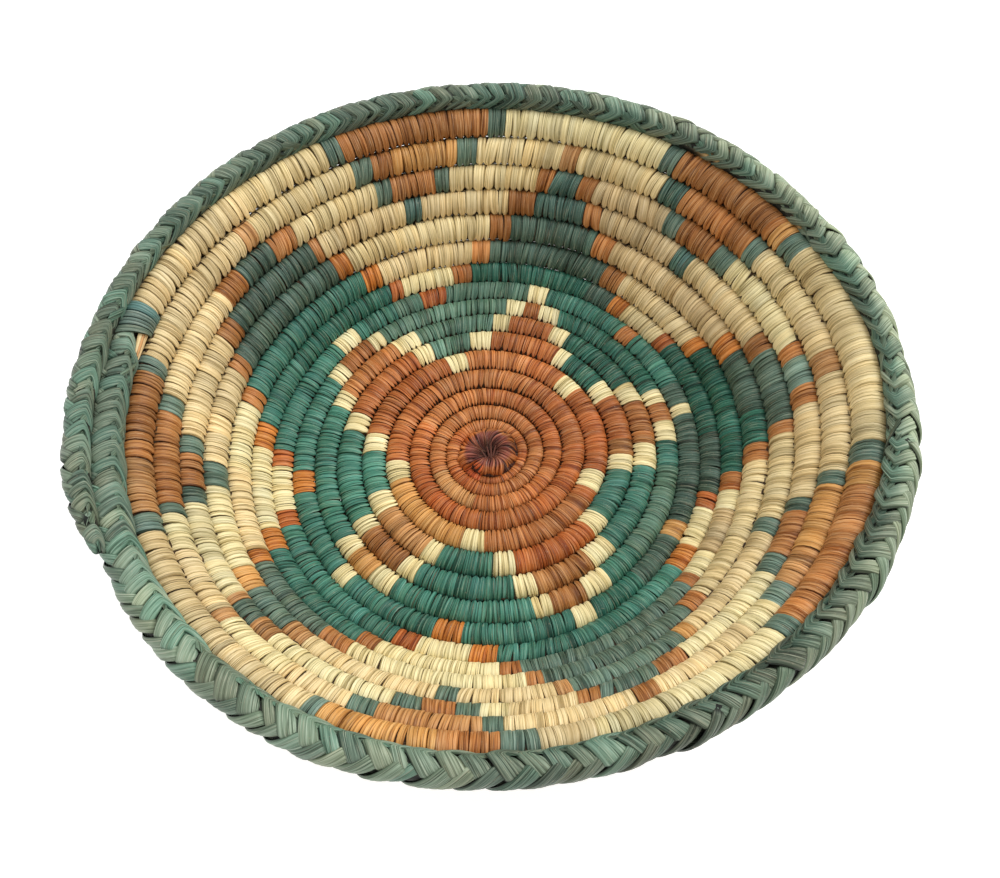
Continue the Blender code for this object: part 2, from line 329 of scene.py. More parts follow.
def new_group(name, inputs, outputs):
    """Starts a node group. A number makes a value socket, a tuple one for colour."""
    group = bpy.data.node_groups.new(name, "ShaderNodeTree")
    for side, sockets in (("INPUT", inputs), ("OUTPUT", outputs)):
        for label, value in sockets.items():
            socket = group.interface.new_socket(label, in_out=side,
                                                socket_type=SOCKET_KINDS[type(value)])
            if value is not None:
                socket.default_value = value
    start, end = group.nodes.new("NodeGroupInput"), group.nodes.new("NodeGroupOutput")
    return group, start.outputs, end.inputs


def add_node(tree, kind, links=(), **values):
    """Adds one node, sets its values and links its inputs."""
    node = tree.nodes.new(kind)
    for key, value in values.items():
        setattr(node, key, value)
    for socket, source in links:
        if isinstance(source, bpy.types.NodeSocket):
            tree.links.new(source, node.inputs[socket])
        else:
            node.inputs[socket].default_value = source
    return node


def calculate(tree, first, operation, second=0.0, clamp=False):
    """A math node on two values."""
    node = add_node(tree, "ShaderNodeMath", ((0, first), (1, second)),
                    operation=OPERATIONS[operation], use_clamp=clamp)
    return node.outputs[0]


def spread(tree, value, low, high, to_low, to_high):
    """Maps a range of values to another, clamped."""
    node = add_node(tree, "ShaderNodeMapRange",
                    (("Value", value), ("From Min", low), ("From Max", high),
                     ("To Min", to_low), ("To Max", to_high)))
    return node.outputs["Result"]


def noise(tree, vector, scale, detail, rough=0.5):
    """A noise texture's value."""
    node = add_node(tree, "ShaderNodeTexNoise",
                    (("Vector", vector), ("Scale", scale), ("Detail", detail),
                     ("Roughness", rough)))
    return node.outputs["Fac"]


def stretched(tree, vector, sizes):
    """A vector multiplied part by part, which stretches what it places."""
    node = add_node(tree, "ShaderNodeVectorMath", ((0, vector), (1, sizes)),
                    operation="MULTIPLY")
    return node.outputs[0]


def tinted(tree, mode, share, first, second):
    """Mixes two colours."""
    node = add_node(tree, "ShaderNodeMix", ((0, share), (6, first), (7, second)),
                    data_type="RGBA", blend_type=mode)
    return node.outputs[2]


# %% Fibre group
FIBRE_STRETCH = (0.035, 1.0, 1.0)
PLEAT_STRETCH = (0.02, 1.0, 1.0)
CREASE_WIDTH = 0.036
FIBRE_HEIGHT = 0.35


def fibre_group():
    """Fine fibres, broad pleats and thin creases that run along a strip of leaf."""
    group, given, result = new_group(
        "leaf_fibre", {"Run": None, "Fibres": 5.0, "Pleats": 1.1, "Creases": 0.8},
        {"Fibre": 0.0, "Pleat": 0.0, "Crease": 0.0, "Height": 0.0})
    lines = stretched(group, given["Run"], FIBRE_STRETCH)
    folds = stretched(group, given["Run"], PLEAT_STRETCH)
    fibre = spread(group, noise(group, lines, given["Fibres"], 3.0), 0.3, 0.7, 0.0, 1.0)
    pleat = spread(group, noise(group, folds, given["Pleats"], 1.0), 0.32, 0.68, 0.0, 1.0)
    bent = calculate(group, noise(group, folds, given["Creases"], 1.5), "-", 0.5)
    away = calculate(group, bent, "without sign")
    crease = spread(group, away, 0.0, CREASE_WIDTH, 1.0, 0.0)
    height = calculate(group, calculate(group, fibre, "*", FIBRE_HEIGHT), "+", pleat)
    height = calculate(group, height, "-", crease)
    for label, value in (("Fibre", fibre), ("Pleat", pleat), ("Crease", crease),
                         ("Height", height)):
        group.links.new(value, result[label])
    return group


FIBRE_GROUP = fibre_group()
print("shader group:", FIBRE_GROUP.name)

# %% Dye group
GREY = (0.5, 0.5, 0.5, 1.0)
PATCH_SCALE = 45.0
PATCH_LEVELS = (0.86, 1.1)
DEPTH_OF_DYE = (1.45, 0.85)
SPECK_SCALE = 900.0
# Pale specks and fibres: partly wear, partly painted sheen for the leaf's satin highlights.
WEAR_AND_SHEEN_BY_SPECKS = 0.3
WEAR_AND_SHEEN_BY_FIBRES = 0.34
WEAR_AND_SHEEN_COLOUR = (0.52, 0.43, 0.29, 1.0)


def dye_group():
    """Uneven dye: streaks with the fibres, patches, painted shade at edges and creases, and pale
    wear with painted sheen.
    """
    group, given, result = new_group(
        "uneven_dye",
        {"Color": GREY, "Fibre": 0.5, "Pleat": 0.5, "Crease": 0.0, "Edge": 0.0,
         "Place": None, "Streaks": 0.3, "Edge Shade": 0.6, "Crease Shade": 0.4},
        {"Color": GREY})
    streak = calculate(group, calculate(group, given["Fibre"], "*", 0.55), "+",
                       calculate(group, given["Pleat"], "*", 0.45))
    streak = calculate(group, given["Streaks"], "*", calculate(group, streak, "-", 0.5))
    bright = calculate(group, 1.0, "+", streak)
    patch = noise(group, given["Place"], PATCH_SCALE, 3.0, 0.6)
    cloud = spread(group, patch, 0.3, 0.7, *PATCH_LEVELS)
    # Painted shade: darker at the edges and grooves that the edge attribute marks, and along the
    # thin creases.
    dark = calculate(group, calculate(group, given["Edge"], "^", 1.5), "*", given["Edge Shade"])
    bend = calculate(group, given["Crease"], "*", given["Crease Shade"])
    kept = calculate(group, calculate(group, 1.0, "-", dark), "*",
                     calculate(group, 1.0, "-", bend))
    level = calculate(group, calculate(group, bright, "*", cloud), "*", kept)
    power = spread(group, level, 0.2, 1.3, *DEPTH_OF_DYE)
    deeper = add_node(group, "ShaderNodeGamma", (("Color", given["Color"]), ("Gamma", power)))
    dimmed = calculate(group, level, "^", 0.65)
    grey = add_node(group, "ShaderNodeCombineColor",
                    (("Red", dimmed), ("Green", dimmed), ("Blue", dimmed)))
    shaded = tinted(group, "MULTIPLY", 1.0, deeper.outputs[0], grey.outputs[0])
    # Pale specks and fibres, partly wear and partly painted sheen, kept away from the edges.
    speck = noise(group, given["Place"], SPECK_SCALE, 2.0, 0.7)
    pale = calculate(group, spread(group, speck, 0.62, 0.8, 0.0, WEAR_AND_SHEEN_BY_SPECKS), "+",
                     spread(group, given["Fibre"], 0.64, 1.0, 0.0, WEAR_AND_SHEEN_BY_FIBRES))
    wear_and_sheen = calculate(group, pale, "*", calculate(group, 1.0, "-", given["Edge"], True))
    group.links.new(tinted(group, "MIX", wear_and_sheen, shaded, WEAR_AND_SHEEN_COLOUR), result["Color"])
    return group


DYE_GROUP = dye_group()
print("shader group:", DYE_GROUP.name)

# %% [markdown]
# ## Leaf and straw materials
# One recipe makes every leaf and straw material: the dye comes from the strip's
# own attribute, the groups break it up, and a small bump raises the fibres. A
# material for each shade would also do, but then the dye couldn't vary along a
# strip. Dry palm leaf has a soft satin shine, so it is neither matt nor glossy.

# %% Leaf material
RUN_ATTRIBUTE = "leaf_run"
DYE_ATTRIBUTE = "leaf_dye"
# The edge attribute carries painted shade at edges, slits and grooves.
EDGE_SHADE_ATTRIBUTE = "leaf_edge_shade"
ROUGHNESS_SPREAD = 0.08
BUMP_STRENGTH = 0.6
LEAF_SHINE = 0.25


def new_material(name):
    """A material, its node tree and its shader."""
    material = bpy.data.materials.new(name)
    material.use_nodes = True
    return material, material.node_tree, material.node_tree.nodes["Principled BSDF"]


def leaf_material(name, roughness, bump_mm, sizes, streaks, edge_shade, crease_shade):
    """Material for strips of leaf that carry their own dye."""
    material, tree, shader = new_material(name)
    run, dye, edge = (add_node(tree, "ShaderNodeAttribute", attribute_name=label).outputs
                      for label in (RUN_ATTRIBUTE, DYE_ATTRIBUTE, EDGE_SHADE_ATTRIBUTE))
    where = add_node(tree, "ShaderNodeTexCoord").outputs
    fibre = add_node(tree, "ShaderNodeGroup",
                     (("Run", run["Vector"]), ("Fibres", sizes[0]), ("Pleats", sizes[1]),
                      ("Creases", sizes[2])), node_tree=FIBRE_GROUP).outputs
    colour = add_node(tree, "ShaderNodeGroup",
                      (("Color", dye["Color"]), ("Fibre", fibre["Fibre"]),
                       ("Pleat", fibre["Pleat"]), ("Crease", fibre["Crease"]),
                       ("Edge", edge["Fac"]), ("Place", where["Object"]),
                       ("Streaks", streaks), ("Edge Shade", edge_shade),
                       ("Crease Shade", crease_shade)), node_tree=DYE_GROUP).outputs
    rough = spread(tree, fibre["Fibre"], 0.0, 1.0,
                   roughness + ROUGHNESS_SPREAD, roughness - ROUGHNESS_SPREAD)
    bump = add_node(tree, "ShaderNodeBump",
                    (("Strength", BUMP_STRENGTH), ("Distance", bump_mm / 1000),
                     ("Height", fibre["Height"]))).outputs
    tree.links.new(colour["Color"], shader.inputs["Base Color"])
    tree.links.new(rough, shader.inputs["Roughness"])
    tree.links.new(bump["Normal"], shader.inputs["Normal"])
    shader.inputs["Specular IOR Level"].default_value = LEAF_SHINE
    return material


# The last two numbers set the painted shade at edges and in creases.
STITCH_LEAF = leaf_material("stitch_leaf", 0.47, 0.23, (3.9, 1.2, 0.75), 0.92, 0.97, 0.72)
BRAID_LEAF = leaf_material("braid_leaf", 0.44, 0.24, (4.2, 1.7, 0.65), 0.95, 0.97, 0.6)
STRAW = leaf_material("straw", 0.55, 0.15, (4.0, 1.2, 0.8), 0.5, 0.5, 0.3)
print("materials:", [m.name for m in (STITCH_LEAF, BRAID_LEAF, STRAW)])

# %% [markdown]
# ## Building strips
# Every visible piece here is made of strips: a grid of points that is short
# across and long along. The grids of many strips are joined in one mesh, so a
# whole row of wraps is one object with one material. An object for each wrap
# would look the same and make the scene slow.


# %% Values for the points of a strip
def per_strip(values):
    """One value for each strip, shaped to meet the strip's rows and columns."""
    return np.asarray(values)[:, None, None]


def leaf_run(length, width, count, apart, start=0.0):
    """Place on the leaf in mm. Each strip gets a stretch of the noise of its own."""
    return length, width, apart * per_strip(np.arange(count)) + start


def full_grid(points, run, dye, edge):
    """Spreads place on the leaf, dye and painted edge shade over a grid of points."""
    shape = points.shape[:3]
    run = np.stack([np.broadcast_to(part, shape) for part in run], axis=-1)
    dye = np.concatenate([np.broadcast_to(dye, points.shape), np.ones((*shape, 1))], axis=-1)
    return points, run, dye, np.broadcast_to(edge, shape)


# %% Turn grids of points into one mesh
def strip_faces(count, rows, columns, closed):
    """Quads for many equal grids stored one after another."""
    last = rows if closed else rows - 1
    i, j = np.meshgrid(np.arange(last), np.arange(columns - 1), indexing="ij")
    a = i * columns + j
    b = ((i + 1) % rows) * columns + j
    quads = np.stack([a, b, b + 1, a + 1], axis=-1).reshape(-1, 4)
    return (per_strip(np.arange(count)) * rows * columns + quads).reshape(-1, 4)


def add_strips(name, grids, material, stands_for, closed=False):
    """One object from grids of strips. A grid's axes are strip, row and column."""
    full = zip(*(full_grid(*grid) for grid in grids))
    points, run, dye, edge = (np.concatenate(part) for part in full)
    mesh = bpy.data.meshes.new(name)
    mesh.from_pydata(points.reshape(-1, 3).tolist(), [],
                     strip_faces(*points.shape[:3], closed).tolist())
    mesh.shade_smooth()
    for label, kind, field, values in ((RUN_ATTRIBUTE, "FLOAT_VECTOR", "vector", run),
                                       (DYE_ATTRIBUTE, "FLOAT_COLOR", "color", dye),
                                       (EDGE_SHADE_ATTRIBUTE, "FLOAT", "value", edge)):
        attribute = mesh.attributes.new(label, kind, "POINT")
        attribute.data.foreach_set(field, values.astype(np.float32).ravel())
    mesh.materials.append(material)
    piece = add_object(name, mesh)
    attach(piece, "root")
    if stands_for:
        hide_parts(*stands_for)
    return piece


# %% [markdown]
# ## The wraps
# Each wrap is a strip of leaf that goes once round the bundle. It lies almost
# flat across and its edges turn down, so a thin dark gap stays between two
# wraps. Towards the centre of the bowl it narrows to a foot that bites into the
# row before. One wrap could be copied along the coil, but no two are equal:
# width, slant and lift all vary, so each is worked out on its own.

# %% Where each wrap sits
WRAP_WIDTHS_MM = ((0.6, 1.15), (2, 1.45), (4, 1.9), (7, 2.3), (10, 2.7), (12, 3.2), (16.5, 3.5))
WRAP_WIDTH_SPREAD = 0.24
WRAP_WIDTH_LIMITS = (0.5, 1.7)
TIE_LENGTH = 0.0105
rng = np.random.default_rng(7)


def tie_start():
    """Turn where the wraps stop and the tie begins."""
    return COIL_END_TURN - TIE_LENGTH / girth(COIL_END_TURN)


def lay_wraps():
    """Middle turn and width of every wrap, one after another."""
    turns, widths = [], []
    turn, end = COIL_START_TURN, tie_start()
    while turn < end:
        width = from_shares(turn, WRAP_WIDTHS_MM) / 1000
        width *= np.clip(math.exp(rng.normal(0, WRAP_WIDTH_SPREAD)), *WRAP_WIDTH_LIMITS)
        step = width / girth(turn)
        turns.append(turn + step / 2)
        widths.append(width)
        turn += step
    return np.array(turns), np.array(widths)


WRAP_TURNS, WRAP_WIDTHS = lay_wraps()
print("wraps:", len(WRAP_TURNS))

# %% Painted shade at the edges of a wrap and in the grooves between rows
ACROSS = np.array([-1.0, -0.89, -0.76, 0.02, 0.78, 0.91, 1.0])
EDGE_PAINTED_SHADE = np.array([1.0, 0.4, 0.0, 0.0, 0.0, 0.34, 1.0])
SHADE_GRIP_LIMITS = (0.25, 1.9)
GROOVE_IN_DEG = 140.0
GROOVE_OUT_DEG = 32.0
GROOVE_EASE_DEG = 24.0
GROOVE_IN_PAINTED_SHADE = 0.6
GROOVE_OUT_PAINTED_SHADE = 0.45


def ease(value):
    """Smooth step from 0 to 1."""
    value = np.clip(value, 0, 1)
    return value * value * (3 - 2 * value)


def wrap_edge_shade(inward, grip):
    """Painted shade at a wrap's two edges, where it meets its neighbours, and in the grooves
    between the rows.
    """
    groove = GROOVE_IN_PAINTED_SHADE * ease((inward - GROOVE_IN_DEG) / GROOVE_EASE_DEG)
    groove = groove + GROOVE_OUT_PAINTED_SHADE * ease((GROOVE_OUT_DEG - inward) / GROOVE_EASE_DEG)
    return np.clip(EDGE_PAINTED_SHADE * np.clip(grip, *SHADE_GRIP_LIMITS) + groove, 0, 1)


print("points across a wrap:", len(ACROSS))

# %% Shape of one wrap
PATH_DEG = (0, 18, 38, 60, 85, 108, 126, 139, 149, 158, 169, 180,
            191, 204, 222, 250, 285, 318, 342)
DROP_MM = np.array([0.5, 0.07, 0.0, 0.0, 0.0, 0.05, 0.42])
ROUNDNESS = 2.25
WRAP_OVERLAP = 1.05
WRAP_PROUD = 0.00015
HEAD_SHARE = 0.9
FOOT_SHARE = 0.5
FOOT_FROM_DEG = 136.0
FOOT_BEARING_DEG = 157.0
FOOT_SPREAD_DEG = 15.0
FOOT_REACH_SHARE = 0.2
FOOT_CORNER_SHARE = 0.3
FULL_DROP_WIDTH = 0.0028
DROP_LIMITS = (0.4, 1.15)
WRAPS_APART_MM = 3.7


def rounded(value, power):
    """Cosine or sine of a shape between a circle and a square."""
    return np.sign(value) * np.abs(value) ** (2 / power)


def wrap_points(turns, widths, lifts, tilts, slants, bows, feet, creases, grips):
    """Points of wraps round the coil, their places on the leaf and the painted shade at their
    edges.
    """
    turn, width, strength = per_strip(turns), per_strip(widths), per_strip(feet)
    phi = np.radians(PATH_DEG)[:, None]
    side, front = np.cos(phi), np.sin(phi)
    inward = 180 - np.abs(180 - np.degrees(phi))
    foot = ease((inward - FOOT_FROM_DEG) / (FOOT_BEARING_DEG - FOOT_FROM_DEG))
    narrow = 1 - (1 - FOOT_SHARE * strength) * foot
    narrow = narrow * (1 - (1 - HEAD_SHARE) * np.clip(side, 0, 1) ** 6)
    shift = ACROSS * width / 2 * narrow * WRAP_OVERLAP
    shift = shift - per_strip(slants) * width * side / 2
    shift = shift + per_strip(bows) * width * (np.abs(front) - 0.5)
    size = np.clip(width / FULL_DROP_WIDTH, *DROP_LIMITS)
    grip = np.where(ACROSS < 0, grips[:, :1], grips[:, 1:])[:, None, :]
    lift = per_strip(lifts) + per_strip(tilts) * ACROSS
    lift = lift + (creases[:, None, :] - DROP_MM * grip) / 1000 * size
    half = row_half(turn)
    dig = np.exp(-((inward - FOOT_BEARING_DEG) / FOOT_SPREAD_DEG) ** 2)
    dig = dig * half * FOOT_REACH_SHARE * strength * (1 - FOOT_CORNER_SHARE * np.abs(ACROSS))
    along = rounded(side, ROUNDNESS) * (half + ROW_GAP / 2 + lift) - dig
    through = rounded(front, ROUNDNESS) * (half * ROW_HEIGHT_SHARE + WRAP_PROUD + lift)
    points = place(turn + shift / girth(turn), along, through)
    run = leaf_run(phi * half * 1000, ACROSS * width * 500, len(turns), WRAPS_APART_MM)
    return points, run, wrap_edge_shade(inward, grip)


print("points round a wrap:", len(PATH_DEG))

# %% Dye of each wrap
LOT_LENGTH = 12
LOT_SPREAD = 0.09
OWN_SPREAD = 0.085
WARM_SPREAD = 0.02
WARM_TONE = np.array([1.0, 0.0, -1.6])
# Painted light on one side of the flat base, and painted shade on one side of the upper wall.
PAINTED_LIGHT_SIDE_DEG = 205.0
PAINTED_LIGHT_SHARE = 0.13
PAINTED_LIGHT_TO_TURN = 9.5
PAINTED_SHADE_SIDE_DEG = 128.0
PAINTED_SHADE_SIDE_SHARE = 0.13
PAINTED_SHADE_FROM_TURN = 12.3
BRIGHTEST = 0.96


def wrap_dyes(turns, letters):
    """Colour of each wrap. Painted light makes the base paler on one side, and painted shade
    makes the wall darker on another.
    """
    base = screen_to_light([SHADES[letter] for letter in letters])
    lots = rng.normal(0, LOT_SPREAD, len(turns) // LOT_LENGTH + 2)
    lot = lots[np.arange(len(turns)) // LOT_LENGTH]
    own = rng.normal(0, OWN_SPREAD, len(turns))
    warm = rng.normal(0, WARM_SPREAD, len(turns))
    paler_share = np.cos(2 * math.pi * turns - math.radians(PAINTED_LIGHT_SIDE_DEG))
    paler_share = PAINTED_LIGHT_SHARE * paler_share * ease((PAINTED_LIGHT_TO_TURN - turns) / 2)
    painted_shade = np.cos(2 * math.pi * turns - math.radians(PAINTED_SHADE_SIDE_DEG))
    painted_shade = PAINTED_SHADE_SIDE_SHARE * np.clip(painted_shade, 0, 1) * ease((turns - PAINTED_SHADE_FROM_TURN) / 1.5)
    level = np.exp(lot + own + paler_share - painted_shade)[:, None]
    colour = base * level * (1 + warm[:, None] * WARM_TONE)
    return colour * np.minimum(1.0, BRIGHTEST / colour.max(axis=1, keepdims=True))


print("lots of leaf:", (len(WRAP_TURNS) - 1) // LOT_LENGTH + 1)

# %% All wraps, one object for each turn
ROWS_OF_WRAPS = 16
LIFT_MM = 0.09
LIFT_LIMITS_MM = (-0.15, 0.3)
TILT_MM = 0.1
SLANT = 0.14
SLANT_DRIFT = 0.28
SLANT_SPREAD = 0.07
BOW_DRIFT = 0.14
FOOT_SPREAD = 0.2
FOOT_LIMITS = (0.5, 1.5)
CREASE_MM = 0.08
GRIP_SPREAD = 0.85
GRIP_LIMITS = (0.2, 1.9)


def drifting(count, hold, amount):
    """Random numbers that change slowly from one wrap to the next."""
    fresh = rng.normal(0, 1, count)
    out = np.zeros(count)
    for i in range(1, count):
        out[i] = hold * out[i - 1] + math.sqrt(1 - hold * hold) * fresh[i]
    return out * amount


def vary_wraps(n):
    """What makes each wrap differ. Two neighbours share the grip between them."""
    lifts = drifting(n, 0.9, LIFT_MM) + rng.normal(0, LIFT_MM, n)
    wraps = {
        "lifts": np.clip(lifts, *LIFT_LIMITS_MM) / 1000,
        "tilts": rng.normal(TILT_MM, 0.6 * TILT_MM, n) / 1000,
        "slants": SLANT + drifting(n, 0.85, SLANT_DRIFT) + rng.normal(0, SLANT_SPREAD, n),
        "bows": drifting(n, 0.8, BOW_DRIFT),
        "feet": np.clip(rng.normal(1.0, FOOT_SPREAD, n), *FOOT_LIMITS),
        "creases": rng.normal(0, CREASE_MM, (n, len(ACROSS))),
    }
    grips = np.clip(np.exp(rng.normal(0, GRIP_SPREAD, n + 1)), *GRIP_LIMITS)
    return {**wraps, "grips": np.stack([grips[:-1], grips[1:]], axis=1)}


def add_wraps():
    """Wraps of every turn, each standing for its sleeve in the solids."""
    wraps = {"turns": WRAP_TURNS, "widths": WRAP_WIDTHS, **vary_wraps(len(WRAP_TURNS))}
    dyes = wrap_dyes(WRAP_TURNS, shade_at(WRAP_TURNS))
    made = []
    for number in range(1, ROWS_OF_WRAPS + 1):
        first = COIL_START_TURN + number - 1
        pick = (WRAP_TURNS >= first) & (WRAP_TURNS < first + 1)
        node = f"wrapping_turn_{number:02d}"
        points, run, edge = wrap_points(**{key: values[pick] for key, values in wraps.items()})
        grid = points, run, per_strip(dyes[pick]), edge
        made.append(add_strips(f"wraps_of_turn_{number:02d}", [grid], STITCH_LEAF,
                               [node], closed=True))
    return made


WRAPS = add_wraps()
print("rows of wraps:", len(WRAPS), "faces:", sum(len(p.data.polygons) for p in WRAPS))

# %% [markdown]
# ## The bundle inside
# Between the wraps a little of the straw bundle can be seen. Its dark brown is partly aged
# straw and partly painted shade. Hundreds of straws could be laid side by side, but only slits of
# them show.
# So the bundle is one long tube with a ridge for each outer straw, slightly
# thinner than the wraps' inner side.

# %% Straw bundles
RIDGE_SHARE = 0.03
# Painted shade on the straws' ridges and, darker, in the grooves between them.
STRAW_PAINTED_SHADE = (0.2, 0.95)
SAG_MM = 0.04
END_LENGTH = 0.003


def stations(first, last):
    """Turns close enough that straight steps follow the curve."""
    turns = [first]
    while turns[-1] < last:
        radius = float(radius_at(turns[-1]))
        turns.append(turns[-1] + math.sqrt(8 * SAG_MM / 1000 / radius) / (2 * math.pi))
    return np.array(turns[:-1] + [last])


def bundle_grid(turns, rows, centres, halves, heights, straws):
    """A ridged tube along the coil. Each ridge is one straw, with painted shade in the grooves.
    """
    sides = 2 * straws
    side = np.arange(sides + 1)
    phi = 2 * math.pi * side / sides
    ridge = 1 - RIDGE_SHARE * (side % 2)
    along = centres[:, None] + halves[:, None] * rounded(np.cos(phi), ROUNDNESS) * ridge
    through = heights[:, None] * rounded(np.sin(phi), ROUNDNESS) * ridge
    length = girth(rows)[:, None] * (turns - turns[0])[:, None] * 1000
    run = length, phi * halves.mean() * 1000, 0.0
    return place(rows[:, None], along, through)[None], run, np.take(STRAW_PAINTED_SHADE, side % 2)


def closed_ends(turns, per_metre, lengths=(END_LENGTH, END_LENGTH)):
    """Shares that narrow a tube to a point at each end, over a length in metres."""
    start = (turns - turns[0]) / per_metre / lengths[0]
    end = (turns[-1] - turns) / per_metre / lengths[1]
    nearest = np.clip(np.minimum(start, end), 0, 1)
    return np.sqrt(np.clip(1 - (1 - nearest) ** 2, 0.0, 1.0))


# %% The bundle of the coil
# The bundle's dark brown is partly aged straw and partly painted shade for the slits between
# wraps.
BUNDLE_AGE_AND_PAINTED_SHADE = (78, 58, 38)
BUNDLE_STRAWS = 11
BUNDLE_INSET_MM = 0.6
BUNDLE_END_LENGTHS = (0.002, 0.01)
BUNDLE_END_HEIGHT_SHARE = 0.35
LOWERED_OVER_TURNS = 0.002
CLEAR_OF_RIM = 0.0002
CLEAR_FROM_TURN = 15.46
CLEARED_OVER_TURNS = 0.05


def add_bundle():
    """The straw inside the coil. It thins out under the straw ends."""
    per_metre = 1 / girth(COIL_END_TURN)
    last = COIL_END_TURN + BUNDLE_END_LENGTHS[1] * per_metre
    turns = stations(COIL_START_TURN, COIL_END_TURN - 0.001)
    turns = np.concatenate([turns, np.linspace(COIL_END_TURN, last, 7)])
    share = closed_ends(turns, per_metre, BUNDLE_END_LENGTHS)
    half = (row_half(turns) + ROW_GAP / 2) * share
    height = (row_half(turns) * ROW_HEIGHT_SHARE - BUNDLE_INSET_MM / 1000) * share
    low = ease((turns - COIL_END_TURN + LOWERED_OVER_TURNS) / LOWERED_OVER_TURNS)
    height = height * (1 - low * (1 - BUNDLE_END_HEIGHT_SHARE))
    clear = CLEAR_OF_RIM * ease((turns - CLEAR_FROM_TURN) / CLEARED_OVER_TURNS)
    points, run, edge = bundle_grid(turns, turns, -clear, half - clear, height, BUNDLE_STRAWS)
    return add_strips("straw_bundle", [(points, run, screen_to_light(BUNDLE_AGE_AND_PAINTED_SHADE), edge)],
                      STRAW, ["coil_foundation"])


BUNDLE = add_bundle()
print("bundle faces:", len(BUNDLE.data.polygons))

# %% [markdown]
# ## The rim braid
# The braid is wider leaf, plaited over the rim's own bundle. Three bands of
# strands lie side by side: short ones up from the inside, broad ones over the
# top, and long ones down the outside. Whole strands could be plaited over and
# under, but their hidden parts would only cut into each other. So each band is
# made alone, slants against its neighbour and dives under it, and the strands
# tilt where two bands meet.

# %% Sizes of the rim
RIM_START_TURN = 16.468
RIM_END_TURN = 17.5736
RIM_WIDTH = 0.0126
RIM_WIDTH_SHARES = ((16.6, 0.99), (16.75, 0.88), (17.0, 0.92), (17.25, 0.8),
                    (17.46, 0.78), (17.545, 0.7), (17.5736, 0.3))
RIM_HEIGHT_SHARE = 1.04
STRAW_ROOM = 0.0046
STRAW_ROOM_TO_TURN = 16.4795
BRAID_PULL_MM = ((16.86, 0), (16.94, 0.6), (17.0, 1.7), (17.055, 2.0), (17.105, 1.0),
                 (17.16, 0))
BRAID_TRIM_MM = ((16.46, 0), (16.52, 0.3), (16.6, 0), (16.66, 0), (16.74, -0.7),
                 (16.83, -0.4), (16.9, 0.1), (16.945, -0.4), (17.0, -1.5), (17.055, -0.6),
                 (17.105, -0.2), (17.16, 0.3), (17.2, 0.7), (17.33, 0.6), (17.38, 0.5),
                 (17.42, -0.3), (17.46, -0.3), (17.5, 0))


def straw_room(turn):
    """Room left for the straw ends beside the start of the rim."""
    fade = (STRAW_ROOM_TO_TURN - turn) / (STRAW_ROOM_TO_TURN - RIM_START_TURN)
    return STRAW_ROOM * np.clip(fade, 0.0, 1.0)


def rim_half(turn):
    """Half the width of the rim."""
    return RIM_WIDTH * from_shares(turn, RIM_WIDTH_SHARES) / 2 - straw_room(turn) / 2


def rim_centre(turn):
    """How far up the wall the rim's middle is from the row it lies on."""
    return row_half(turn - 1) + ROW_GAP + straw_room(turn) + rim_half(turn)


def rim_radius(turn):
    """Radius of the rim's middle."""
    return radius_at(turn - 1) + rim_centre(turn) * np.cos(slope(turn - 1))


def drawn_centre(turn):
    """The rim's middle where the maker has drawn it in over the last row."""
    return rim_centre(turn) - from_shares(turn, BRAID_PULL_MM) / 1000


def rim_place(turn, angle, lift):
    """Point on the rim by bearing round its section, 0 at its top edge."""
    half = rim_half(turn)
    lift = lift + from_shares(turn, BRAID_TRIM_MM) / 1000
    along = drawn_centre(turn) + (half + lift) * np.cos(angle)
    through = (half * RIM_HEIGHT_SHARE + lift) * np.sin(angle)
    return place(turn - 1, along, through)


print(f"the rim's middle is {rim_radius(17.0) * 1000:.1f} mm out at turn 17")

# %% Where the strands of the braid lie
STEPS_MM = ((16.46, 5.8), (16.56, 5.8), (16.62, 7.7), (16.75, 7.4), (16.87, 7.0),
            (16.94, 6.2), (17.0, 8.4), (17.05, 8.8), (17.15, 9.2), (17.22, 7.6),
            (17.3, 7.3), (17.4, 7.2), (17.57, 6.0))
STEP_SPREAD = 0.34
LEAN_DEG = ((16.46, 65), (16.6, 64), (16.7, 58), (17.0, 57), (17.25, 57), (17.57, 60))
LEAN_SPREAD_DEG = 4.0


def lay_strands():
    """Turn, step and slant of each strand where it crosses the inner ridge."""
    turn, turns, steps = RIM_START_TURN - 0.003, [], []
    while turn < RIM_END_TURN - 0.004:
        step = from_shares(turn, STEPS_MM) / 1000
        step *= rng.uniform(1 - STEP_SPREAD, 1 + STEP_SPREAD)
        turns.append(turn)
        steps.append(step)
        turn += step / (2 * math.pi * rim_radius(turn))
    leans = from_shares(turns, LEAN_DEG) + rng.normal(0, LEAN_SPREAD_DEG, len(turns))
    return np.array(turns), np.array(steps), np.radians(leans)


STRAND_TURNS, STRAND_STEPS, STRAND_LEANS = lay_strands()
print("strands in each band:", len(STRAND_TURNS))

# %% Path of the strands
INNER_RIDGE_DEG = ((16.46, 86), (16.6, 86), (16.75, 88), (16.92, 76), (17.03, 83),
                   (17.125, 90), (17.25, 95), (17.42, 92), (17.57, 84))
OUTER_RIDGE_DEG = 16.0
SEAM_IN_DEG = 178.0
SEAM_OUT_DEG = -176.0
INSIDE_LEAN_DEG = 35.0
OUTSIDE_LEAN_DEG = 45.0
BEND_MM = 0.6
UNDER_MM = 2.4
RAMP_MM = 1.3
STRAND_ROWS = 32


